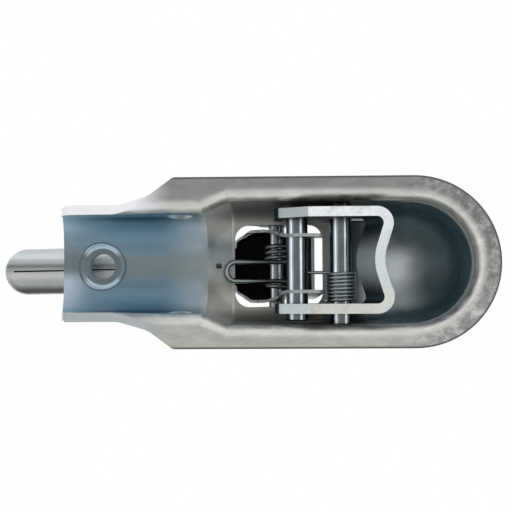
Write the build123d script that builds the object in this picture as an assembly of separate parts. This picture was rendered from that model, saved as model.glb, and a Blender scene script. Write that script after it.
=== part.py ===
from build123d import *
import math
import os

os.makedirs("parts", exist_ok=True)

# Trailer coupling head for a 50 mm ball and a round drawbar tube. Millimetres.
# The origin is the ball's centre, +X points to the front and +Z up, so the ball enters from -Z.

# Ball cup
ball_r = 25.0
cup_play = 0.25
cup_r = ball_r + cup_play
cup_overlap = 0.15

# Pressed sheet housing
sheet = 3.5
rim_z = -24.0
rim_half = 38.0
flare_r = 7.5
wall_half = 26.6
wall_foot = 27.6
roof_z = 21.0
roof_corner = 8.0
roof_crown = 0.6
channel_front_x = -16.0
channel_rear_x = -82.5
step_length = 11.5

# Half-tube tail that clamps the drawbar
tube_r = 22.5
tube_z = -5.0
tail_edge_z = -21.5
tail_pinch = 0.8
tail_flare_r = sheet + 0.3
tail_low_end_x = -157.0
tail_lean = 8.0
tail_corner_r = 6.0
flare_full_x = -112.0
flare_start_x = -134.0

# Outline of the rim behind the cup
rim_rear_x = -106.5
rim_chamfer_x = -117.5
rim_chamfer_half = 29.8
rim_blend_x = -131.0

# Holes for the drawbar bolts
bolt_hole_r = 6.25
side_bolt_x = -105.6
bolt_spacing = 40.4
top_bolt_x = side_bolt_x - bolt_spacing
bolt_seat_r = 10.7
bolt_seat_drop = 0.2
drain_r = 1.5
drain_x = -88.9

# Window in the roof, which the handle passes through
window_front_x = -38.0
window_rear_x = -81.2
window_half = 20.2
window_corner = 7.0

# Ears beside the window, which carry the handle
ear_r = 9.0
ear_foot = 14.0

# Cross pins
pivot_x = -60.6
pivot_z = 29.0
pivot_r = 4.0
drive_x = -51.2
drive_z = -5.0
drive_r = 5.0
guide_x = -31.0
guide_z = -6.0
guide_r = 5.0
pin_fit = 0.06
rivet_over = 3.0
ear_rivet_over = 2.2
rivet_height = 2.6
rivet_play = 1.0
seat_depth = 0.5
seat_play = 0.4
end_gap = 0.35
pin_chamfer = 0.6

# Handle, pressed from thin sheet
handle_sheet = 1.5
arm_half = 13.6
hood_half = 18.2
grip_half = 11.7
grip_low_z = 31.0
grip_height = 17.0
grip_end_x = -200.0
grip_top_round = 7.0
grip_low_round = 6.0
nose_r = grip_low_z + grip_height - pivot_z
nose_end_deg = -8.0
hood_bend_r = 9.0
hood_end_bend_r = 0.8
hood_low_z = roof_z + sheet + 1.5
hood_rear_x = -84.0
hood_neck = 3.0
hood_wide_front = 5.0
hood_wide_rear = 13.0
skirt_front = 10.0
skirt_rear = 19.0
arm_tip_x = -38.7
arm_lobe = 7.7
arm_lean_z = roof_z - 9.0
seam_gap = 0.8
handle_lift_deg = 27.0

# Jaw, bent from thick strip
jaw_strip = 4.4
jaw_half = 23.7
jaw_shift = -0.9
jaw_low_z = -23.6
jaw_top_z = 8.0
jaw_lip_top_z = -15.0
jaw_lean_deg = 40.5
jaw_ball_gap = 0.3
jaw_front_x = -17.2
jaw_rear_x = -61.5
jaw_bevel_x = -46.5
jaw_rear_low_z = -15.0
jaw_rear_top_z = 2.5
jaw_bend_r = 5.2
jaw_dish_r = 20.0
jaw_lobe_x = -9.2
slot_play = 0.4
slot_steps = 6

# Springs
jaw_wire_r = 0.75
jaw_coil_pitch = 1.7
jaw_coil_turns = 7
jaw_coil_play = 0.25
jaw_coil_side_gap = 0.5
handle_wire_r = 1.1
handle_coil_pitch = 2.7
handle_coil_play = 0.25
handle_coil_side_gap = 0.5
handle_coil_left_turns = 3
handle_coil_right_turns = 1
handle_free_leg_deg = 45.0
loop_reach = 2.5
loop_drop = 0.6
spring_gap = 0.3

floor_z = rim_z - 6.0
lip_reach = rim_half + 2.0
sky_z = roof_z + 60.0


def circle_top(radius, centre_z, grow):
    """Start, middle, end and crown of a round roof, on the right-hand side, as (y, z)."""
    points = []
    for degrees in (0, 30, 60, 90):
        angle = math.radians(degrees)
        reach = radius + grow
        points.append((reach * math.cos(angle), centre_z + reach * math.sin(angle)))
    return points


def box_top(grow):
    """The same four points of a flatter roof with rounded corners."""
    centre_y = wall_half - roof_corner
    centre_z = roof_z - roof_crown - roof_corner
    reach = roof_corner + grow
    half_turn = reach * math.cos(math.radians(45))
    return [
        (centre_y + reach, centre_z),
        (centre_y + half_turn, centre_z + half_turn),
        (centre_y, centre_z + reach),
        (0.0, roof_z + grow),
    ]


def form_section(x, top, foot, flare, grow):
    """Closed section of the housing's hollow at x, grown by a wall: roof, side walls and flared mouth."""
    start, middle, end, crown = top
    bend = flare - grow
    diagonal = bend * math.cos(math.radians(45))
    hub = (foot + flare, rim_z + flare)
    right = [
        (lip_reach, floor_z),
        (lip_reach, rim_z + grow),
        (hub[0], rim_z + grow),
        (hub[0] - diagonal, hub[1] - diagonal),
        (foot + grow, hub[1]),
        start,
        middle,
        end,
    ]
    place = Plane((x, 0, 0), x_dir=(0, 1, 0), z_dir=(1, 0, 0))
    edges = []
    for side in (1, -1):
        p = [(side * y, z) for y, z in right]
        edges.append(Line(p[0], p[1]))
        edges.append(Line(p[1], p[2]))
        edges.append(ThreePointArc(p[2], p[3], p[4]))
        edges.append(Line(p[4], p[5]))
        edges.append(ThreePointArc(p[5], p[6], p[7]))
    edges.append(ThreePointArc(end, crown, (-end[0], end[1])))
    edges.append(Line(right[0], (-right[0][0], right[0][1])))
    return place * make_face(edges)


def cup_form(radius, grow):
    """The cup, a ball socket above a round flared mouth, grown by a wall."""
    bend = flare_r - grow
    diagonal = bend * math.cos(math.radians(45))
    hub = (wall_foot + flare_r, rim_z + flare_r)
    reach = radius + grow
    half_turn = reach * math.cos(math.radians(45))
    outline = [
        Line((0, floor_z), (lip_reach, floor_z)),
        Line((lip_reach, floor_z), (lip_reach, rim_z + grow)),
        Line((lip_reach, rim_z + grow), (hub[0], rim_z + grow)),
        ThreePointArc(
            (hub[0], rim_z + grow),
            (hub[0] - diagonal, hub[1] - diagonal),
            (wall_foot + grow, hub[1]),
        ),
        Line((wall_foot + grow, hub[1]), (reach, 0)),
        ThreePointArc((reach, 0), (half_turn, half_turn), (0, reach)),
        Line((0, reach), (0, floor_z)),
    ]
    return revolve(Plane.XZ * make_face(outline), Axis.Z, 360)


def housing_form(grow):
    """The whole hollow of the housing, grown by a wall: tail, widening step, channel and cup.

    The channel's front end stands a little inside the cup, so that the two surfaces cross cleanly.
    """
    tail = circle_top(tube_r, tube_z, grow)
    channel = box_top(grow)
    cup = circle_top(cup_r - cup_overlap, 0.0, grow)
    step_x = channel_rear_x - step_length
    far_x = tail_low_end_x - 2 * tail_lean
    stations = [
        form_section(far_x, tail, tube_r - tail_pinch, tail_flare_r, grow),
        form_section(flare_start_x, tail, tube_r - tail_pinch, tail_flare_r, grow),
        form_section(flare_full_x, tail, tube_r, flare_r, grow),
        form_section(step_x, tail, tube_r, flare_r, grow),
        form_section(channel_rear_x, channel, wall_foot, flare_r, grow),
        form_section(channel_front_x, channel, wall_foot, flare_r, grow),
        form_section(0.0, cup, wall_foot - cup_overlap, flare_r, grow),
    ]
    seat_height = tube_z + tube_r - bolt_seat_drop + grow
    seat = Pos(top_bolt_x, 0, seat_height / 2) * Cylinder(bolt_seat_r + 0.7 * grow, seat_height)
    form = cup_form(cup_r, grow) + seat
    for rear, front in zip(stations, stations[1:]):
        form += loft([rear, front], ruled=True)
    return form


def rim_outline():
    """The housing seen from above: round front, straight sides, chamfers and the tail."""
    tail_half = tube_r + sheet
    far_x = tail_low_end_x - 2 * tail_lean
    side = [
        (0, rim_half),
        (rim_rear_x, rim_half),
        (rim_chamfer_x, rim_chamfer_half),
        (rim_blend_x, tail_half),
        (far_x, tail_half),
    ]
    other = [(x, -y) for x, y in reversed(side)]
    outline = FilletPolyline(*side, radius=[4.0, 14.0, 14.0])
    outline += Line(side[-1], other[0])
    outline += FilletPolyline(*other, radius=[14.0, 14.0, 4.0])
    outline += ThreePointArc((0, -rim_half), (rim_half, 0), (0, rim_half))
    return make_face(outline)


def side_outline():
    """The housing seen from the side: flat rim, raised tail edge and leaning rear end."""
    slope = tail_lean / (tube_z + tube_r - tail_edge_z)
    top_end_x = tail_low_end_x - slope * (sky_z - tail_edge_z)
    low = [
        (lip_reach, rim_z),
        (rim_chamfer_x, rim_z),
        (flare_start_x, tail_edge_z),
        (tail_low_end_x, tail_edge_z),
        (top_end_x, sky_z),
    ]
    outline = FilletPolyline(*low, radius=[20.0, 20.0, tail_corner_r])
    outline += Polyline(low[-1], (lip_reach, sky_z), low[0])
    return make_face(outline)


def across(x, z, radius, length):
    """A cylinder along Y, centred on the middle plane."""
    return Pos(x, 0, z) * Rot(90, 0, 0) * Cylinder(radius, length)


def wall_outer_at(z):
    """Half-width of the channel's outside at height z."""
    top_z = roof_z - roof_crown - roof_corner
    foot_z = rim_z + flare_r
    share = (top_z - z) / (top_z - foot_z)
    return wall_half + sheet + share * (wall_foot - wall_half)


def rivet_seat_y(z):
    """Where the head of a pin at height z bears on the housing's wall."""
    return wall_outer_at(z) - seat_depth


def window():
    length = window_front_x - window_rear_x
    middle_x = (window_front_x + window_rear_x) / 2
    opening = RectangleRounded(length, 2 * window_half, window_corner)
    return Pos(middle_x, 0, roof_z - roof_corner) * extrude(opening, amount=sky_z)


def ears():
    """Two ears bent up at the sides of the window, which trims their inner sides."""
    foot_z = roof_z - roof_corner
    side = Pos(pivot_x, pivot_z) * Circle(ear_r)
    side += make_face(
        Polyline(
            (pivot_x - ear_foot, foot_z),
            (pivot_x - ear_foot, roof_z + sheet),
            (pivot_x - ear_r, pivot_z),
            (pivot_x + ear_r, pivot_z),
            (pivot_x + ear_foot, roof_z + sheet),
            (pivot_x + ear_foot, foot_z),
            close=True,
        )
    )
    plate = Pos(0, window_half + sheet, 0) * extrude(Plane.XZ * side, amount=2 * sheet)
    return plate + mirror(plate, about=Plane.XZ)


def make_housing():
    shell = housing_form(sheet) + ears() - housing_form(0.0)
    plan = Pos(0, 0, rim_z - 1) * extrude(rim_outline(), amount=sky_z - rim_z)
    side = extrude(Plane.XZ * side_outline(), amount=lip_reach, both=True)
    shell = shell & plan & side
    shell -= window()
    shell -= across(side_bolt_x, tube_z, bolt_hole_r, 4 * rim_half)
    shell -= Pos(top_bolt_x, 0, roof_z) * Cylinder(bolt_hole_r, roof_z)
    shell -= Pos(drain_x, 0, roof_z) * Cylinder(drain_r, roof_z)
    shell -= across(pivot_x, pivot_z, pivot_r + pin_fit, 4 * rim_half)
    shell -= across(guide_x, guide_z, guide_r + pin_fit, 4 * rim_half)
    head_r = guide_r + rivet_over
    seat = across(guide_x, guide_z, head_r + seat_play, 4 * rim_half)
    seat -= across(guide_x, guide_z, head_r + rivet_play, 2 * rivet_seat_y(guide_z))
    return shell - seat


def make_riveted_pin(x, z, radius, seat_y, over):
    """A pin through both walls, closed by a low round head on each side at seat_y."""
    head_r = radius + over
    crown_r = (head_r**2 + rivet_height**2) / (2 * rivet_height)
    profile = [
        Line((0, 0), (radius, 0)),
        Line((radius, 0), (radius, seat_y)),
        Line((radius, seat_y), (head_r, seat_y)),
        RadiusArc((head_r, seat_y), (0, seat_y + rivet_height), -crown_r),
        Line((0, seat_y + rivet_height), (0, 0)),
    ]
    half = revolve(make_face(profile), Axis.Y, 360)
    pin = half + mirror(half, about=Plane.XZ)
    return Pos(x, 0, z) * pin


def make_drive_pin():
    """A plain pin that the handle's arms carry between the housing's walls."""
    length = 2 * (wall_half - end_gap)
    pin = Cylinder(drive_r, length)
    ends = pin.edges().filter_by(GeomType.CIRCLE)
    return Pos(drive_x, 0, drive_z) * Rot(90, 0, 0) * chamfer(ends, pin_chamfer)


def drive_at(degrees):
    """Where the drive pin's centre is when the handle is lifted."""
    angle = math.radians(degrees)
    dx = drive_x - pivot_x
    dz = drive_z - pivot_z
    x = pivot_x + dx * math.cos(angle) + dz * math.sin(angle)
    z = pivot_z - dx * math.sin(angle) + dz * math.cos(angle)
    return x, z


def nose_point(radius, degrees):
    """A point on the handle's round nose, about the pivot."""
    angle = math.radians(degrees)
    return pivot_x + radius * math.cos(angle), pivot_z + radius * math.sin(angle)


def hood_side(inset):
    """The handle's hood and arms seen from the side. An inset gives the hollow, open at the front and below."""
    crest_z = grip_low_z + grip_height - inset
    radius = nose_r - inset
    last = nose_end_deg
    if inset:
        ahead = nose_point(2 * radius, last)
        rest = Polyline(
            nose_point(radius, last),
            ahead,
            (ahead[0], floor_z),
            (pivot_x - skirt_rear - 1, floor_z),
            (pivot_x - skirt_rear - 1, grip_low_z + inset),
            (hood_rear_x, grip_low_z + inset),
            (hood_rear_x, crest_z),
        )
    else:
        low_z = drive_z - arm_lobe
        rest = FilletPolyline(
            nose_point(radius, last),
            (arm_tip_x, drive_z + 4),
            (arm_tip_x, low_z + 1.5),
            (drive_x - 2, low_z),
            (drive_x - arm_lobe, drive_z + 2),
            (drive_x - arm_lobe - 1, arm_lean_z),
            (pivot_x - skirt_front, hood_low_z),
            (pivot_x - skirt_rear, hood_low_z),
            (hood_rear_x, grip_low_z),
            radius=[6.0, 4.0, 6.0, 5.0, 8.0, 6.0, 3.0],
        )
        rest += Line((hood_rear_x, grip_low_z), (hood_rear_x, crest_z))
    top = Line((hood_rear_x, crest_z), nose_point(radius, 90))
    nose = ThreePointArc(
        nose_point(radius, 90),
        nose_point(radius, (90 + last) / 2),
        nose_point(radius, last),
    )
    return make_face(top + nose + rest)


def hood_plan(inset):
    """The handle's hood and arms seen from above."""
    half = [
        (pivot_x + 2 * nose_r, arm_half - inset),
        (pivot_x + hood_neck, arm_half - inset),
        (pivot_x - hood_wide_front, hood_half - inset),
        (pivot_x - hood_wide_rear, hood_half - inset),
        (hood_rear_x + 1, grip_half - inset),
        (hood_rear_x, grip_half - inset),
    ]
    other = [(x, -y) for x, y in reversed(half)]
    tight = hood_bend_r - inset
    radii = [hood_bend_r, tight, tight / 2, hood_end_bend_r]
    outline = FilletPolyline(*half, radius=radii)
    outline += Line(half[-1], other[0])
    outline += FilletPolyline(*other, radius=radii[::-1])
    outline += Line(other[-1], half[0])
    return make_face(outline)


def hood_form(inset):
    side = extrude(Plane.XZ * hood_side(inset), amount=2 * hood_half, both=True)
    plan = Pos(0, 0, floor_z) * extrude(hood_plan(inset), amount=sky_z - floor_z)
    return side & plan


def grip_form(inset):
    """The grip's round-edged bar."""
    half = grip_half - inset
    end_x = grip_end_x + inset
    length = hood_rear_x - end_x - half
    outline = Pos(end_x + half + length / 2, 0) * Rectangle(length, 2 * half)
    outline += Pos(end_x + half, 0) * Circle(half)
    height = grip_height - 2 * inset
    bar = Pos(0, 0, grip_low_z + inset) * extrude(outline, amount=height)
    front = bar.edges().filter_by(lambda e: e.bounding_box().min.X > hood_rear_x - 0.01)
    high = bar.edges().group_by(Axis.Z)[-1] - front
    low = bar.edges().group_by(Axis.Z)[0] - front
    bar = fillet(high, grip_top_round - inset)
    low = bar.edges().group_by(Axis.Z)[0] - bar.edges().filter_by(
        lambda e: e.bounding_box().min.X > hood_rear_x - 0.01
    )
    return fillet(low, grip_low_round - inset)


def make_handle():
    shell = hood_form(0.0) + grip_form(0.0)
    hollow = hood_form(handle_sheet) + grip_form(handle_sheet)
    handle = shell - hollow
    mouth = [
        (hood_rear_x - 4, 0.0),
        (hood_rear_x - 1, grip_half / 2),
        (hood_rear_x + 4, grip_half - handle_sheet),
        (pivot_x - hood_wide_rear - 2, hood_half - handle_sheet),
        (pivot_x - skirt_front, hood_half - handle_sheet),
    ]
    mouth_other = [(x, -y) for x, y in reversed(mouth)]
    opening = make_face(Polyline(*mouth, *mouth_other[:-1], close=True))
    mouth_z = hood_low_z - sheet
    depth = grip_low_z + handle_sheet + end_gap - mouth_z
    handle -= Pos(0, 0, mouth_z) * extrude(opening, amount=depth)
    seam_length = hood_rear_x - grip_end_x + grip_half
    seam_x = grip_end_x + grip_half / 2 + seam_length / 2
    handle -= Pos(seam_x, 0, grip_low_z) * Box(seam_length, seam_gap, 3 * handle_sheet)
    handle -= across(pivot_x, pivot_z, pivot_r + pin_fit, 4 * hood_half)
    handle -= across(drive_x, drive_z, drive_r + pin_fit, 4 * hood_half)
    return handle


def jaw_side_face():
    """One side plate of the jaw seen from the side, with its drive hole and its open guide slot."""
    outline = FilletPolyline(
        (jaw_front_x + 0.7, jaw_low_z),
        (jaw_bevel_x, jaw_low_z),
        (jaw_rear_x, jaw_rear_low_z),
        (jaw_rear_x, jaw_rear_top_z),
        (drive_x - 3, jaw_rear_top_z),
        (drive_x + 5, jaw_top_z),
        (jaw_front_x, jaw_top_z),
        (jaw_front_x, jaw_lip_top_z),
        radius=[3.0, 5.0, 4.0, 3.0, 6.0, 4.0],
    )
    outline += Line((jaw_front_x, jaw_lip_top_z), (jaw_front_x + 0.7, jaw_low_z))
    face = make_face(outline)
    face -= Pos(drive_x, drive_z) * Circle(drive_r + pin_fit)
    reach = guide_r + slot_play
    centres = []
    for step in range(slot_steps + 1):
        moved_x, moved_z = drive_at(handle_lift_deg * step / slot_steps)
        centres.append((guide_x + drive_x - moved_x, guide_z + drive_z - moved_z))
    centres.append((centres[-1][0] + 4 * guide_r, centres[-1][1]))
    for start, end in zip(centres, centres[1:]):
        face -= slot_between(start, end, reach)
    return face


def slot_between(start, end, reach):
    """A round-ended slot from one centre to the next."""
    length = math.dist(start, end)
    angle = math.degrees(math.atan2(end[1] - start[1], end[0] - start[0]))
    middle = ((start[0] + end[0]) / 2, (start[1] + end[1]) / 2)
    return Pos(*middle) * Rot(0, 0, angle) * SlotCenterToCenter(length, 2 * reach)


def make_jaw():
    lean = math.radians(jaw_lean_deg)
    centre_half = jaw_half - jaw_strip / 2
    touch = ball_r + jaw_ball_gap
    lip_x = (jaw_low_z * math.sin(lean) + touch) / -math.cos(lean)
    dish_x = lip_x - jaw_strip / 2
    slope = math.atan((jaw_lobe_x - dish_x) / centre_half)
    corner_x = dish_x - jaw_dish_r * (1 / math.cos(slope) - 1)
    path = FilletPolyline(
        (jaw_front_x - 4, centre_half),
        (jaw_lobe_x, centre_half),
        (corner_x, 0),
        (jaw_lobe_x, -centre_half),
        (jaw_front_x - 4, -centre_half),
        radius=[jaw_bend_r, jaw_dish_r, jaw_bend_r],
    )
    strip = make_face(path.wire().offset_2d(jaw_strip / 2))
    rise = jaw_lip_top_z - jaw_low_z
    front = extrude(
        Pos(0, 0, jaw_low_z) * strip,
        amount=rise / math.cos(lean),
        dir=(-math.sin(lean), 0, math.cos(lean)),
    )
    plate = Plane.XZ * jaw_side_face()
    side = Pos(0, jaw_half, 0) * extrude(plate, amount=jaw_strip)
    return Pos(0, jaw_shift, 0) * (front + side + mirror(side, about=Plane.XZ))


def round_wire(edges, radius):
    """One piece of round wire along edges that follow each other."""
    path = Wire(edges)
    section = Plane(origin=path @ 0, z_dir=path % 0) * Circle(radius)
    return sweep(section, path=path)


def coil(x, y, z, mean_r, pitch, start_deg, end_deg):
    """A coil about an axis along Y, from y towards +Y. Angles run from +X down towards -Z."""
    turns = (end_deg - start_deg) / 360
    helix = Helix(pitch, pitch * turns, mean_r)
    return (Pos(x, y, z) * Rot(-90, 0, 0) * Rot(0, 0, start_deg) * helix).edge()


def make_jaw_spring():
    """Torsion spring on the guide pin: one leg over the drive pin, the other up to the roof."""
    mean_r = guide_r + jaw_coil_play + jaw_wire_r
    rest_z = drive_z + drive_r + jaw_wire_r + spring_gap / 3
    rise = rest_z - (guide_z + mean_r)
    start = -90 + math.degrees(math.atan2(rise, guide_x - drive_x))
    last = 180 + 360 * jaw_coil_turns
    outer_y = jaw_shift + jaw_half - jaw_strip - jaw_wire_r - jaw_coil_side_gap
    inner_y = outer_y - jaw_coil_pitch * (last - start) / 360
    wound = coil(guide_x, inner_y, guide_z, mean_r, jaw_coil_pitch, start, last)
    inner_end = (drive_x, inner_y, rest_z)
    outer_start = wound @ 1
    outer_end = (outer_start.X, outer_start.Y, roof_z - roof_crown - spring_gap)
    inner = Line(inner_end, wound @ 0).edge()
    outer = Line(outer_start, outer_end).edge()
    return round_wire([inner, wound, outer], jaw_wire_r)


def handle_spring_half(y, turns, leave_deg, mean_r):
    """Edges of one half of the handle's spring: a free leg under the nose and a coil."""
    reach = nose_r - handle_sheet - handle_wire_r - spring_gap
    start_deg = math.degrees(math.acos(mean_r / reach)) - handle_free_leg_deg
    end_deg = leave_deg + 360 * turns
    wound = coil(pivot_x, y, pivot_z, mean_r, handle_coil_pitch, start_deg, end_deg)
    angle = math.radians(handle_free_leg_deg)
    tip = (pivot_x + reach * math.cos(angle), y, pivot_z + reach * math.sin(angle))
    return [Line(tip, wound @ 0).edge(), wound]


def make_handle_spring():
    """Double torsion spring on the pivot: a loop under the roof's edge and two free legs."""
    mean_r = pivot_r + handle_coil_play + handle_wire_r
    loop_x = channel_rear_x - loop_reach
    slope = (roof_z - tube_z - tube_r) / step_length
    loop_z = roof_z - slope * loop_reach - handle_wire_r - spring_gap - loop_drop
    dx = loop_x - pivot_x
    dz = loop_z - pivot_z
    fall = math.atan2(-dz, -dx) + math.acos(mean_r / math.hypot(dx, dz))
    leave_deg = 180 - math.degrees(fall)
    side_y = arm_half - handle_sheet - handle_wire_r - handle_coil_side_gap
    left = handle_spring_half(-side_y, handle_coil_left_turns, leave_deg, mean_r)
    right = handle_spring_half(-side_y, handle_coil_right_turns, leave_deg, mean_r)
    right = [edge.mirror(Plane.XZ) for edge in right]
    left_end = left[-1] @ 1
    right_end = right[-1] @ 1
    bend_r = (right_end.Y - left_end.Y) / 2
    middle = Vector(loop_x, left_end.Y + bend_r, loop_z)
    run = middle - Vector(left_end.X, middle.Y, left_end.Z)
    left_bend = left_end + run * (1 - bend_r / run.length)
    right_bend = right_end + run * (1 - bend_r / run.length)
    loop = [
        Line(left_end, left_bend).edge(),
        ThreePointArc(left_bend, middle, right_bend).edge(),
        Line(right_bend, right_end).edge(),
    ]
    return round_wire(left + loop + right[::-1], handle_wire_r)


nodes = {
    "housing": make_housing(),
    "handle": make_handle(),
    "jaw": make_jaw(),
    "pivot_pin": make_riveted_pin(
        pivot_x, pivot_z, pivot_r, window_half + sheet, ear_rivet_over
    ),
    "guide_pin": make_riveted_pin(
        guide_x, guide_z, guide_r, rivet_seat_y(guide_z), rivet_over
    ),
    "drive_pin": make_drive_pin(),
    "jaw_spring": make_jaw_spring(),
    "handle_spring": make_handle_spring(),
}
for name, shape in nodes.items():
    export_step(shape, f"parts/{name}.step")
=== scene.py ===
import math

import bmesh
import bpy
from mathutils import Matrix, Vector


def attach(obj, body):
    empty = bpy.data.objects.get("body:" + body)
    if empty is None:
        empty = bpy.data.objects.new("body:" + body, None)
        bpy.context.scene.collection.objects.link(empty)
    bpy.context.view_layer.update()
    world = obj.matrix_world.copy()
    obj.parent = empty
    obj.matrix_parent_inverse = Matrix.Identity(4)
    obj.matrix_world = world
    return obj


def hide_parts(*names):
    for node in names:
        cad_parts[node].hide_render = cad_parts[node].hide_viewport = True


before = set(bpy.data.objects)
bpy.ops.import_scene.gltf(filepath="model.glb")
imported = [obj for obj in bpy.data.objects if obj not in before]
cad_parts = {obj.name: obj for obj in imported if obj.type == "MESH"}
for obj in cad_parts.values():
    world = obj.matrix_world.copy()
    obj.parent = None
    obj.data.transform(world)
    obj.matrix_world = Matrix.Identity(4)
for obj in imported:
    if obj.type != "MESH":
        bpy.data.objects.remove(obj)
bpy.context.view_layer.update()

# A trailer coupling head, seen from below. Everything is in metres.
# The origin is the ball's centre, +X points to the front and +Z up.
rim_z = -0.024
bolt_x = -0.146

# Where one painted zone of the housing, with its own painted shade and light, passes into the next,
# as start and end along x
jaw_shade = (-0.0355, -0.0325)
cup_begins = (-0.024, -0.012)
slope_begins = (-0.0805, -0.0835)
tail_begins = (-0.0915, -0.0985)
tail_ends = (-0.136, -0.160)
tail_lip_x = (-0.106, -0.126)

# The same along z, with the lip's painted highlight and shade reaching higher in the cup
lip_z = (-0.0150, -0.0180)
lip_rise = 0.0028
tail_lip_z = (-0.0185, -0.0205)
light_reach_z = (-0.019, -0.014)

# The same from outside to inside, over the value that outward_of gives
inside_out = (0.002, -0.002)

# Rings of the seat round the top bolt hole, as radius and half width: the darker flat, the bend
# with painted highlights and the edge with painted shade
seat_flat = (0.0076, 0.0013)
seat_bend = (0.0101, 0.0009)
seat_edge = (0.0114, 0.0003)

# Handle: its hood's plates lean out, its grip lies askew and its hood's edges are rounded
lean_out = 0.0030
lean_z = (0.004, 0.022)
lean_x = (-0.0656, -0.0576)
plate_y = 0.010
grip_askew = 0.0017
askew_x = (-0.080, -0.170)
grip_front_x = -0.0836
grip_side_y = 0.0108
hood_foot_z = 0.0262
edge_round = 0.0010
merge_within = 2e-6
flat_angle = math.radians(1.0)
sharp_angle = math.radians(38)
shade_angle = math.radians(32)


# Shader helpers


def screen(red, green, blue):
    """A linear colour from the 0 to 255 values of a screen."""
    return tuple(((v / 255 + 0.055) / 1.055) ** 2.4 for v in (red, green, blue))


def grey(level):
    """A linear grey from the 0 to 255 value of a screen."""
    return screen(level, level, level)


def new_material(name):
    """A material, its node tree and its shader."""
    material = bpy.data.materials.new(name)
    material.use_nodes = True
    return material, material.node_tree, material.node_tree.nodes["Principled BSDF"]


def place_of(tree):
    """Object coordinates, their x, y and z, and the normal's x, y and z."""
    coords = tree.nodes.new("ShaderNodeTexCoord")
    split = tree.nodes.new("ShaderNodeSeparateXYZ")
    tree.links.new(coords.outputs["Object"], split.inputs[0])
    facing = tree.nodes.new("ShaderNodeSeparateXYZ")
    tree.links.new(coords.outputs["Normal"], facing.inputs[0])
    return coords.outputs["Object"], split.outputs, facing.outputs


def fill(tree, socket, value):
    """Link a socket to another, or give it a colour or a number."""
    if isinstance(value, bpy.types.NodeSocket):
        tree.links.new(value, socket)
    elif isinstance(value, tuple):
        socket.default_value = (*value, 1.0)
    else:
        socket.default_value = value


def calc(tree, operation, a, b=0.0, clamp=False):
    """One step of arithmetic on two values."""
    made = tree.nodes.new("ShaderNodeMath")
    made.operation = operation
    made.use_clamp = clamp
    fill(tree, made.inputs[0], a)
    fill(tree, made.inputs[1], b)
    return made.outputs[0]


def product(tree, *values):
    """All the values multiplied."""
    result = values[0]
    for value in values[1:]:
        result = calc(tree, "MULTIPLY", result, value)
    return result


def spread(tree, value, start, end, low=0.0, high=1.0, smooth=True):
    """Low where value is at start, high at end, and in between them on the way."""
    made = tree.nodes.new("ShaderNodeMapRange")
    made.interpolation_type = "SMOOTHSTEP" if smooth else "LINEAR"
    fill(tree, made.inputs["Value"], value)
    made.inputs["From Min"].default_value = start
    made.inputs["From Max"].default_value = end
    made.inputs["To Min"].default_value = low
    made.inputs["To Max"].default_value = high
    return made.outputs["Result"]


def near(tree, value, centre, half, soft):
    """1 within half of centre, 0 further than soft outside that."""
    away = calc(tree, "ABSOLUTE", calc(tree, "SUBTRACT", value, centre))
    return spread(tree, away, half + soft, half)


def noise(tree, where, scale, detail=4.0, rough=0.55, stretch=None):
    """Cloudy noise around 0.5, stretched along an axis where stretch is given."""
    made = tree.nodes.new("ShaderNodeTexNoise")
    made.inputs["Scale"].default_value = scale
    made.inputs["Detail"].default_value = detail
    made.inputs["Roughness"].default_value = rough
    if stretch:
        mapping = tree.nodes.new("ShaderNodeMapping")
        mapping.inputs["Scale"].default_value = stretch
        tree.links.new(where, mapping.inputs["Vector"])
        where = mapping.outputs["Vector"]
    tree.links.new(where, made.inputs["Vector"])
    return made.outputs["Fac"]


def mix(tree, share, low, high, blend="MIX"):
    """The colour low where share is 0 and high where it is 1."""
    made = tree.nodes.new("ShaderNodeMix")
    made.data_type = "RGBA"
    made.blend_type = blend
    fill(tree, made.inputs[0], share)
    fill(tree, made.inputs[6], low)
    fill(tree, made.inputs[7], high)
    return made.outputs[2]


def ramp(tree, value, *stops):
    """A colour along value, from (position, colour) stops."""
    made = tree.nodes.new("ShaderNodeValToRGB")
    band = made.color_ramp
    band.interpolation = "EASE"
    for element, stop in zip((band.elements[0], band.elements[1]), (stops[0], stops[-1])):
        element.position = stop[0]
        element.color = (*stop[1], 1.0)
    for position, colour in stops[1:-1]:
        band.elements.new(position).color = (*colour, 1.0)
    tree.links.new(value, made.inputs[0])
    return made.outputs["Color"]


def length_of(tree, first, second):
    """The length of a step of two parts at right angles."""
    squares = calc(tree, "ADD", product(tree, first, first), product(tree, second, second))
    return calc(tree, "SQRT", squares)


def grey_of(tree, value):
    """A grey colour from a value."""
    made = tree.nodes.new("ShaderNodeCombineColor")
    for socket in made.inputs:
        fill(tree, socket, value)
    return made.outputs[0]


def dim(tree, colour, factor):
    """A colour times a value."""
    return mix(tree, 1.0, colour, grey_of(tree, factor), "MULTIPLY")


def finish(tree, shader, colour, rough, grain, strength):
    """Metal of a colour, with a roughness and a fine bump that follow a grain."""
    tree.links.new(colour, shader.inputs["Base Color"])
    shader.inputs["Metallic"].default_value = 1.0
    tree.links.new(spread(tree, grain, 0.3, 0.7, *rough), shader.inputs["Roughness"])
    made = tree.nodes.new("ShaderNodeBump")
    made.inputs["Strength"].default_value = strength
    made.inputs["Distance"].default_value = 0.0002
    tree.links.new(grain, made.inputs["Height"])
    tree.links.new(made.outputs["Normal"], shader.inputs["Normal"])


# Materials. The value called down is 1 on a face that looks straight down and 0 on an upright one.
# Colour ramps over down paint light and shade into the colour by how a face is turned.


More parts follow.
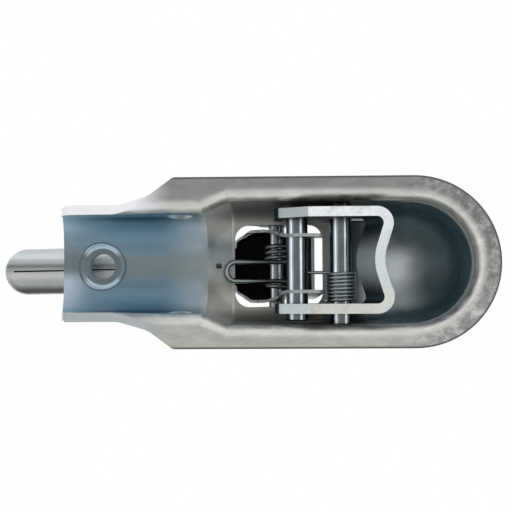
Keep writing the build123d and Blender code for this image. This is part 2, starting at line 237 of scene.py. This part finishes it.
def lip_colour(tree, where, x, y, down):
    """The flared rim from below: grey flat band, a painted highlight on the bend, painted shade
    where it meets the wall, and one side painted lighter.
    """
    # Light and shade painted by facing: a painted highlight on the bend and painted shade at the
    # wall, as a darker copy for one side and a lighter copy for the other.
    shaded_side = ramp(
        tree, down,
        (0.00, screen(104, 108, 106)), (0.13, screen(186, 188, 180)), (0.30, screen(240, 239, 228)),
        (0.55, screen(250, 247, 238)), (0.85, screen(198, 199, 195)), (1.00, screen(134, 136, 135)),
    )
    lit_side = ramp(
        tree, down,
        (0.00, screen(104, 110, 112)), (0.12, screen(188, 196, 198)), (0.28, screen(244, 247, 247)),
        (0.55, screen(255, 255, 253)), (0.85, screen(214, 216, 211)), (1.00, screen(169, 171, 165)),
    )
    colour = mix(tree, spread(tree, y, -0.024, 0.024), shaded_side, lit_side)

    blotch = noise(tree, where, 210.0, 8.0, 0.72)
    speck = noise(tree, where, 900.0, 3.0, 0.8)
    worn_and_side_light = ramp(
        tree, blotch, (0.30, grey(84)), (0.47, grey(128)), (0.58, grey(170)), (0.75, grey(196))
    )
    worn_and_side_light = mix(tree, spread(tree, speck, 0.5, 0.72, 0.0, 0.55), worn_and_side_light, grey(80))
    # Painted side light: the mottle turns lighter towards one side.
    worn_and_side_light = dim(tree, worn_and_side_light, spread(tree, y, -0.005, 0.028, 0.84, 1.3))
    front = spread(tree, x, -0.02, 0.022)
    flat = spread(tree, down, 0.7, 0.97)
    colour = mix(tree, product(tree, front, flat, 0.75), colour, worn_and_side_light)

    streak = noise(tree, where, 70.0, 7.0, 0.7, (1.0, 3.0, 1.0))
    return dim(tree, colour, spread(tree, streak, 0.25, 0.75, 0.84, 1.12))


def tail_colour(tree, x, y, down):
    """The half-tube tail from below: blue-grey, with painted shade deepest beside its walls, paler
    towards its rear end, and a painted pool of light near the rear on one side.
    """
    # Shade and light painted by facing; in the middle, painted shade is darkest where the sheet
    # turns up into the walls.
    middle = ramp(
        tree, down,
        (0.00, screen(92, 132, 152)), (0.22, screen(40, 74, 92)), (0.48, screen(104, 142, 163)),
        (0.80, screen(144, 173, 190)), (0.94, screen(124, 147, 158)), (1.00, screen(120, 134, 137)),
    )
    rear = ramp(
        tree, down,
        (0.00, screen(140, 172, 190)), (0.25, screen(136, 168, 186)), (0.55, screen(152, 178, 192)),
        (0.85, screen(124, 144, 155)), (1.00, screen(104, 115, 120)),
    )
    front = ramp(
        tree, down,
        (0.00, screen(92, 116, 126)), (0.25, screen(146, 168, 180)), (0.60, screen(196, 212, 220)),
        (0.88, screen(176, 190, 196)), (1.00, screen(138, 148, 150)),
    )
    colour = mix(tree, spread(tree, x, *tail_ends), middle, rear)
    colour = mix(tree, spread(tree, x, -0.118, -0.097), colour, front)
    # A painted pool of light near the rear end, on one side.
    painted_light_pool = product(tree, spread(tree, x, -0.148, -0.163), near(tree, y, 0.011, 0.003, 0.008))
    return mix(tree, painted_light_pool, colour, screen(176, 193, 206))


def bolt_seat(tree, tail, x, y, side):
    """The seat round the top bolt hole: a darker flat, two painted crescent highlights on its bend
    and a thin line of painted shade at its edge.
    """
    radius = length_of(tree, calc(tree, "SUBTRACT", x, bolt_x), y)
    sideways = calc(tree, "DIVIDE", side, calc(tree, "MAXIMUM", radius, 0.001))
    flat = near(tree, radius, *seat_flat, 0.0007)
    bend = near(tree, radius, *seat_bend, 0.0005)
    edge = near(tree, radius, *seat_edge, 0.0004)
    # Painted highlights on the seat's bend, on its two sides across y.
    crescent_highlights = product(tree, bend, spread(tree, sideways, 0.45, 0.8))
    colour = mix(tree, flat, tail, screen(104, 114, 118))
    # Painted shade in the crease at the seat's outer edge.
    colour = mix(tree, edge, colour, screen(84, 100, 110))
    return mix(tree, crescent_highlights, colour, screen(190, 208, 220))


def cup_colour(tree, where, x, y, down):
    """Down in the cup: blue walls painted near black with shade, a dark grey crown, and a painted
    reflection of light behind the jaw.
    """
    # Painted shade by facing, darkest on the upright walls.
    colour = ramp(
        tree, down,
        (0.00, screen(56, 84, 92)), (0.30, screen(60, 88, 97)), (0.62, screen(112, 130, 136)),
        (0.85, screen(124, 134, 136)), (1.00, screen(106, 111, 110)),
    )
    # A painted reflection of light behind the jaw, on the faces that look down.
    behind = spread(tree, x, 0.015, -0.003)
    beside = near(tree, y, 0.007, 0.009, 0.011)
    painted_reflection = product(tree, behind, beside, spread(tree, down, 0.35, 0.7))
    colour = mix(tree, painted_reflection, colour, screen(240, 247, 250))
    return dim(tree, colour, spread(tree, noise(tree, where, 60.0, 3.0), 0.3, 0.7, 0.86, 1.12))


def channel_colour(tree, x, down):
    """The channel round the window: warm grey with shade painted by facing, and painted shade near
    black beside the jaw.
    """
    colour = ramp(
        tree, down,
        (0.0, screen(104, 107, 107)), (0.5, screen(120, 121, 118)),
        (0.9, screen(140, 138, 132)), (1.0, screen(158, 156, 150)),
    )
    # Painted shade beside the jaw.
    return mix(tree, spread(tree, x, *jaw_shade), colour, screen(44, 50, 52))


def slope_colour(tree, y, side):
    """The slope down to the tail: grey, a little lighter towards one side, with a painted highlight
    along each side.
    """
    colour = mix(tree, spread(tree, y, -0.012, 0.016), screen(138, 148, 150), screen(158, 157, 150))
    # Painted highlights along both sides.
    colour = mix(tree, spread(tree, side, 0.009, 0.018), colour, screen(232, 233, 228))
    return mix(tree, spread(tree, side, 0.020, 0.025), colour, screen(178, 180, 176))


def outward_of(tree, place, normal):
    """Above 0 where the sheet's surface looks outwards and below 0 where it looks inwards."""
    x, y, z = place
    nx, ny, nz = normal
    along = product(tree, nx, calc(tree, "MAXIMUM", x, 0.0))
    across = product(tree, ny, y)
    upward = product(tree, nz, calc(tree, "ADD", z, 0.004))
    lip_top = product(tree, spread(tree, nz, 0.05, 0.2), spread(tree, z, -0.012, -0.015), 0.03)
    outward = calc(tree, "ADD", calc(tree, "ADD", along, across), upward)
    return calc(tree, "ADD", outward, lip_top)


def inside_colour(tree, where, x, y, down):
    """The hollow from front to rear: cup, channel, slope and tail."""
    side = calc(tree, "ABSOLUTE", y)
    channel = channel_colour(tree, x, down)
    cup = cup_colour(tree, where, x, y, down)
    tail = bolt_seat(tree, tail_colour(tree, x, y, down), x, y, side)
    colour = mix(tree, spread(tree, x, *cup_begins), channel, cup)
    colour = mix(tree, spread(tree, x, *slope_begins), colour, slope_colour(tree, y, side))
    return mix(tree, spread(tree, x, *tail_begins), colour, tail)


def edge_shares(tree, place, nz, down, outward):
    """The rim's upright cut face, and a thin line of painted shade round its flat side."""
    x, y, z = place
    ahead = calc(tree, "MAXIMUM", x, 0.0)
    upright = spread(tree, calc(tree, "ABSOLUTE", nz), 0.6, 0.35)
    cut = product(
        tree, upright, spread(tree, z, -0.0200, -0.0207), spread(tree, outward, -0.001, 0.001)
    )
    # Painted shade along the rim's outer edge.
    shade_line = product(
        tree, spread(tree, length_of(tree, ahead, y), 0.0368, 0.0376),
        spread(tree, z, -0.0195, -0.0205), spread(tree, down, 0.3, 0.6),
    )
    return cut, shade_line


def housing_zinc():
    """Zinc on pressed sheet: silver outside; inside, light and shade painted into the colour, and
    less metallic where light hardly reaches.
    """
    material, tree, shader = new_material("housing_zinc")
    where, place, normal = place_of(tree)
    x, y, z = place
    nz = normal[2]
    down = product(tree, nz, -1.0)
    outward = outward_of(tree, place, normal)
    inner = spread(tree, outward, *inside_out)
    cloud = noise(tree, where, 40.0, 4.0)
    outside = mix(tree, cloud, screen(160, 166, 172), screen(196, 200, 203))
    colour = mix(tree, inner, outside, inside_colour(tree, where, x, y, down))

    height = calc(tree, "SUBTRACT", z, spread(tree, x, -0.014, 0.006, 0.0, lip_rise))
    lip = product(tree, spread(tree, height, *lip_z), spread(tree, down, 0.0, 0.03))
    colour = mix(tree, lip, colour, lip_colour(tree, where, x, y, down))
    tail_lip = product(
        tree, spread(tree, x, *tail_lip_x), spread(tree, z, *tail_lip_z),
        spread(tree, down, 0.4, 0.8),
    )
    # Painted light on the tail's lip, brighter towards one side.
    pale = mix(tree, spread(tree, y, -0.01, 0.01), screen(230, 231, 235), screen(164, 170, 172))
    colour = mix(tree, tail_lip, colour, pale)

    cut, shade_line = edge_shares(tree, place, nz, down, outward)
    colour = mix(tree, cut, colour, screen(136, 139, 139))
    # A thin line of painted shade round the rim.
    colour = mix(tree, shade_line, colour, screen(86, 88, 87))
    finish(tree, shader, colour, (0.36, 0.5), noise(tree, where, 260.0, 5.0), 0.15)
    hidden = product(tree, inner, spread(tree, z, *light_reach_z))
    tree.links.new(spread(tree, hidden, 0.0, 1.0, 1.0, 0.4), shader.inputs["Metallic"])
    return material


def handle_zinc():
    """Satin zinc with painted shading across the grip's underside; the sheet's inside is black, as
    it is in shade.
    """
    material, tree, shader = new_material("handle_zinc")
    where, (x, y, z), (_, ny, nz) = place_of(tree)
    down = product(tree, nz, -1.0)
    cloud = noise(tree, where, 55.0, 4.0)
    colour = mix(tree, cloud, screen(168, 172, 173), screen(196, 199, 200))

    # Painted shading across the grip's underside: each rounded half lighter on its lit side, darker
    # at the seam and at the lower edge.
    across = spread(tree, y, -0.012, 0.012, smooth=False)
    below = ramp(
        tree, across,
        (0.00, screen(150, 155, 157)), (0.10, screen(190, 195, 197)), (0.26, screen(208, 213, 215)),
        (0.37, screen(166, 171, 172)), (0.46, screen(112, 117, 117)), (0.53, screen(150, 153, 152)),
        (0.66, screen(180, 182, 181)), (0.80, screen(150, 153, 152)), (1.00, screen(72, 74, 73)),
    )
    grip = product(tree, spread(tree, down, -0.2, 0.3), spread(tree, x, -0.080, -0.088))
    colour = mix(tree, grip, colour, below)
    arm_edge = product(tree, spread(tree, down, 0.4, 0.8), spread(tree, x, -0.088, -0.080))
    colour = mix(tree, arm_edge, colour, screen(150, 156, 155))

    above = calc(tree, "SUBTRACT", z, 0.039)
    outward = calc(tree, "ADD", product(tree, ny, y), product(tree, nz, above))
    inner = product(tree, spread(tree, outward, -0.001, -0.003), spread(tree, x, -0.092, -0.088))
    colour = mix(tree, inner, colour, screen(10, 11, 11))
    finish(tree, shader, colour, (0.32, 0.46), noise(tree, where, 320.0, 5.0), 0.12)
    shader.inputs["Specular IOR Level"].default_value = 0.4
    return material


def jaw_zinc():
    """Matt zinc on thick strip: painted light where it faces down, painted shade on its upright and
    leaning faces, and one side painted lighter.
    """
    material, tree, shader = new_material("jaw_zinc")
    where, (x, y, _), (nx, _, nz) = place_of(tree)
    down = product(tree, nz, -1.0)
    side = calc(tree, "ABSOLUTE", y)
    mottle = noise(tree, where, 520.0, 7.0, 0.7)
    blotch = noise(tree, where, 190.0, 6.0, 0.7)

    # Lit colour of the faces that look down, painted lighter towards one side.
    pale = mix(tree, spread(tree, y, -0.012, 0.010), screen(228, 230, 233), screen(200, 202, 196))
    pale = mix(tree, spread(tree, blotch, 0.50, 0.66, 0.0, 0.5), pale, screen(168, 170, 166))
    corner = product(tree, near(tree, y, 0.014, 0.004, 0.005), spread(tree, x, -0.016, -0.011))
    rust = product(tree, spread(tree, mottle, 0.56, 0.68), corner, 0.6)
    pale = mix(tree, rust, pale, screen(120, 98, 78))
    front = product(tree, spread(tree, x, -0.020, -0.014), 0.5)
    pale = mix(tree, front, pale, screen(210, 213, 209))
    dish = product(tree, spread(tree, side, 0.014, 0.006), spread(tree, x, -0.022, -0.018), 0.8)
    pale = mix(tree, dish, pale, screen(202, 208, 212))
    # Rear tips, painted lighter towards one side.
    tips = mix(tree, spread(tree, y, -0.01, 0.01), screen(172, 179, 181), screen(190, 197, 198))
    pale = mix(tree, spread(tree, x, -0.0462, -0.0468), pale, tips)

    # Painted shade: upright faces darker towards the sides, darkest on the leaning front face.
    wall = mix(tree, spread(tree, side, 0.004, 0.015), screen(132, 140, 142), screen(44, 54, 56))
    leaning = product(tree, spread(tree, x, -0.034, -0.030), spread(tree, nx, -0.3, -0.5))
    dark = mix(tree, leaning, screen(40, 47, 49), wall)
    # Painted light on faces that look down, painted shade on the rest.
    colour = mix(tree, spread(tree, down, 0.72, 0.84), dark, pale)
    finish(tree, shader, colour, (0.42, 0.6), mottle, 0.3)
    return material


def pin_steel():
    """Bright round bar, with long highlights and dark bands painted on across it, and painted shade
    over the pins' ends beyond the jaw's upper strip.
    """
    material, tree, shader = new_material("pin_steel")
    where, (_, y, z), (nx, ny, _) = place_of(tree)
    # Painted highlights and dark bands, by which way the surface faces across the bar.
    round_bar = spread(tree, nx, -1.0, 1.0, smooth=False)
    colour = ramp(
        tree, round_bar,
        (0.000, screen(52, 66, 72)), (0.120, screen(84, 98, 104)), (0.170, screen(186, 196, 204)),
        (0.240, screen(244, 247, 250)), (0.290, screen(140, 150, 155)),
        (0.380, screen(94, 100, 101)), (0.600, screen(92, 98, 97)),
        (0.645, screen(200, 207, 210)), (0.690, screen(240, 243, 245)),
        (0.735, screen(96, 106, 110)), (0.900, screen(86, 96, 100)), (1.000, screen(60, 70, 74)),
    )
    end = spread(tree, calc(tree, "ABSOLUTE", ny), 0.3, 0.8)
    colour = mix(tree, end, colour, screen(170, 176, 180))
    scuff = noise(tree, where, 240.0, 4.0, 0.6, (1.0, 0.6, 1.0))
    colour = dim(tree, colour, spread(tree, scuff, 0.3, 0.7, 0.90, 1.08))
    # Painted shade over the pins' ends beyond the jaw's upper strip.
    shaded = product(
        tree, spread(tree, y, -0.0222, -0.0236), spread(tree, y, -0.0294, -0.0288),
        spread(tree, z, 0.012, 0.008),
    )
    colour = dim(tree, colour, spread(tree, shaded, 0.0, 1.0, 1.0, 0.12))
    finish(tree, shader, colour, (0.20, 0.28), scuff, 0.02)
    return material


def spring_steel():
    """Dark oiled wire, lighter on the jaw's spring and at the rear end of the handle's."""
    material, tree, shader = new_material("spring_steel")
    where, (x, _, _), _ = place_of(tree)
    grain = noise(tree, where, 700.0, 5.0)
    wire = mix(tree, grain, screen(104, 108, 108), screen(136, 142, 142))
    lighter = mix(tree, grain, screen(128, 136, 137), screen(160, 167, 168))
    jaw_end = spread(tree, x, -0.056, -0.050)
    loop_end = spread(tree, x, -0.068, -0.076)
    colour = mix(tree, calc(tree, "MAXIMUM", jaw_end, loop_end), wire, lighter)
    finish(tree, shader, colour, (0.3, 0.42), grain, 0.08)
    return material


# The handle's own form


def smooth_share(value, start, end):
    """0 at start, 1 at end and a smooth step between them."""
    share = min(max((value - start) / (end - start), 0.0), 1.0)
    return share * share * (3 - 2 * share)


def is_hood_edge(edge):
    """True for a sharp edge of the hood that doesn't run along the grip."""
    if len(edge.link_faces) != 2 or edge.calc_face_angle(0.0) <= sharp_angle:
        return False
    start, end = (vert.co for vert in edge.verts)
    off_grip = abs(start.y) > grip_side_y or start.x > grip_front_x
    return off_grip and min(start.z, end.z) > hood_foot_z


def formed_handle():
    """A merged copy of the handle's mesh, bent a little and with rounded edges."""
    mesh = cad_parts["handle"].data.copy()
    shape = bmesh.new()
    shape.from_mesh(mesh)
    bmesh.ops.remove_doubles(shape, verts=shape.verts, dist=merge_within)
    bmesh.ops.dissolve_limit(
        shape, angle_limit=flat_angle, verts=shape.verts, edges=shape.edges,
        use_dissolve_boundaries=False,
    )
    for vert in shape.verts:
        spot = vert.co
        if abs(spot.y) > plate_y:
            lean = lean_out * smooth_share(spot.z, *lean_z) * smooth_share(spot.x, *lean_x)
            spot.y += math.copysign(lean, spot.y)
        spot.y += grip_askew * smooth_share(spot.x, *askew_x)
    bmesh.ops.bevel(
        shape, geom=[edge for edge in shape.edges if is_hood_edge(edge)], offset=edge_round,
        offset_type="OFFSET", affect="EDGES", segments=3, profile=0.5, material=-1,
        clamp_overlap=True,
    )
    bmesh.ops.triangulate(shape, faces=[f for f in shape.faces if len(f.verts) > 4])
    for face in shape.faces:
        face.smooth = True
    shape.to_mesh(mesh)
    shape.free()
    mesh.set_sharp_from_angle(angle=shade_angle)
    piece = bpy.data.objects.new("handle_formed", mesh)
    bpy.context.scene.collection.objects.link(piece)
    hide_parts("handle")
    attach(piece, "lever")
    return piece


handle_piece = formed_handle()

pin_finish = pin_steel()
wire_finish = spring_steel()
finishes = {
    "housing": housing_zinc(),
    "handle": handle_zinc(),
    "jaw": jaw_zinc(),
    "pivot_pin": pin_finish,
    "guide_pin": pin_finish,
    "drive_pin": pin_finish,
    "jaw_spring": wire_finish,
    "handle_spring": wire_finish,
}
for name, surface in finishes.items():
    piece = handle_piece if name == "handle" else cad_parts[name]
    piece.data.materials.clear()
    piece.data.materials.append(surface)


# Camera, which looks up at the part from below

frame_px = 512.0
focal_px = 854.9
sensor_mm = 36.0
tilt, swing, roll = -0.0487, 0.0248, -0.0066
camera_place = (-0.06032, 0.01554, -0.39993)


def below_camera():
    """A camera under the part, turned a little about each axis."""
    turn = Matrix.Rotation(roll, 3, "Z") @ Matrix.Rotation(swing, 3, "Y")
    right, down, ahead = turn @ Matrix.Rotation(tilt, 3, "X")
    data = bpy.data.cameras.new("camera")
    data.sensor_width = sensor_mm
    data.lens = focal_px * sensor_mm / frame_px
    data.clip_start = 0.01
    data.clip_end = 20.0
    camera = bpy.data.objects.new("camera", data)
    pose = Matrix((right, -down, -ahead)).transposed().to_4x4()
    pose.translation = Vector(camera_place)
    camera.matrix_world = pose
    bpy.context.scene.collection.objects.link(camera)
    return camera


bpy.context.scene.camera = below_camera()


# Light, floor and background

lit_point = Vector((-0.08, 0, 0))
floor_half = 3.0
floor_reach = 0.8
floor_gap = 0.00005


def soft_light(name, where, size, power):
    """A round lamp that faces the middle of the part."""
    data = bpy.data.lights.new(name, "AREA")
    data.shape = "DISK"
    data.size = size
    data.energy = power
    lamp = bpy.data.objects.new(name, data)
    lamp.location = where
    lamp.rotation_euler = (lit_point - Vector(where)).to_track_quat("-Z", "Y").to_euler()
    bpy.context.scene.collection.objects.link(lamp)


def white_world():
    """White where it is seen directly, mirrored or through glass, and a little weaker as light."""
    world = bpy.data.worlds.new("studio")
    world.use_nodes = True
    tree = world.node_tree
    path = tree.nodes.new("ShaderNodeLightPath").outputs
    seen = calc(tree, "ADD", path["Is Camera Ray"], path["Is Glossy Ray"])
    seen = calc(tree, "ADD", seen, path["Is Transmission Ray"], clamp=True)
    background = tree.nodes["Background"]
    background.inputs["Color"].default_value = (1, 1, 1, 1)
    strength = spread(tree, seen, 0.0, 1.0, 0.85, 1.0, smooth=False)
    tree.links.new(strength, background.inputs["Strength"])
    return world


def floor_finish():
    """Pale and matt to the camera from above, clear to all else, and clear far from the part."""
    material, tree, shader = new_material("pale_floor")
    shader.inputs["Base Color"].default_value = (0.86, 0.86, 0.86, 1)
    shader.inputs["Roughness"].default_value = 0.9
    path = tree.nodes.new("ShaderNodeLightPath")
    geometry = tree.nodes.new("ShaderNodeNewGeometry")
    front = calc(tree, "SUBTRACT", 1.0, geometry.outputs["Backfacing"])
    _, (x, y, _), _ = place_of(tree)
    close = spread(tree, length_of(tree, x, y), floor_reach, floor_reach / 2)
    clear = tree.nodes.new("ShaderNodeBsdfTransparent")
    choose = tree.nodes.new("ShaderNodeMixShader")
    tree.links.new(product(tree, path.outputs["Is Camera Ray"], front, close), choose.inputs[0])
    tree.links.new(clear.outputs[0], choose.inputs[1])
    tree.links.new(shader.outputs[0], choose.inputs[2])
    tree.links.new(choose.outputs[0], tree.nodes["Material Output"].inputs["Surface"])
    return material


def pale_floor():
    """A plane just under the rim that takes the part's shadow."""
    mesh = bpy.data.meshes.new("floor")
    shape = bmesh.new()
    bmesh.ops.create_grid(shape, x_segments=1, y_segments=1, size=floor_half)
    bmesh.ops.translate(shape, vec=(0, 0, rim_z - floor_gap), verts=shape.verts)
    shape.to_mesh(mesh)
    shape.free()
    mesh.materials.append(floor_finish())
    floor = bpy.data.objects.new("floor", mesh)
    bpy.context.scene.collection.objects.link(floor)


soft_light("below_front", (0.45, -0.35, -0.75), 0.6, 0.5)
soft_light("below_rear", (-0.6, 0.35, -0.7), 0.6, 0.4)
soft_light("above_front", (0.5, -0.5, 0.9), 0.7, 3.5)
soft_light("above_rear", (-0.7, 0.5, 0.8), 0.7, 2.5)
bpy.context.scene.world = white_world()
pale_floor()

bpy.context.scene.view_settings.view_transform = "Standard"
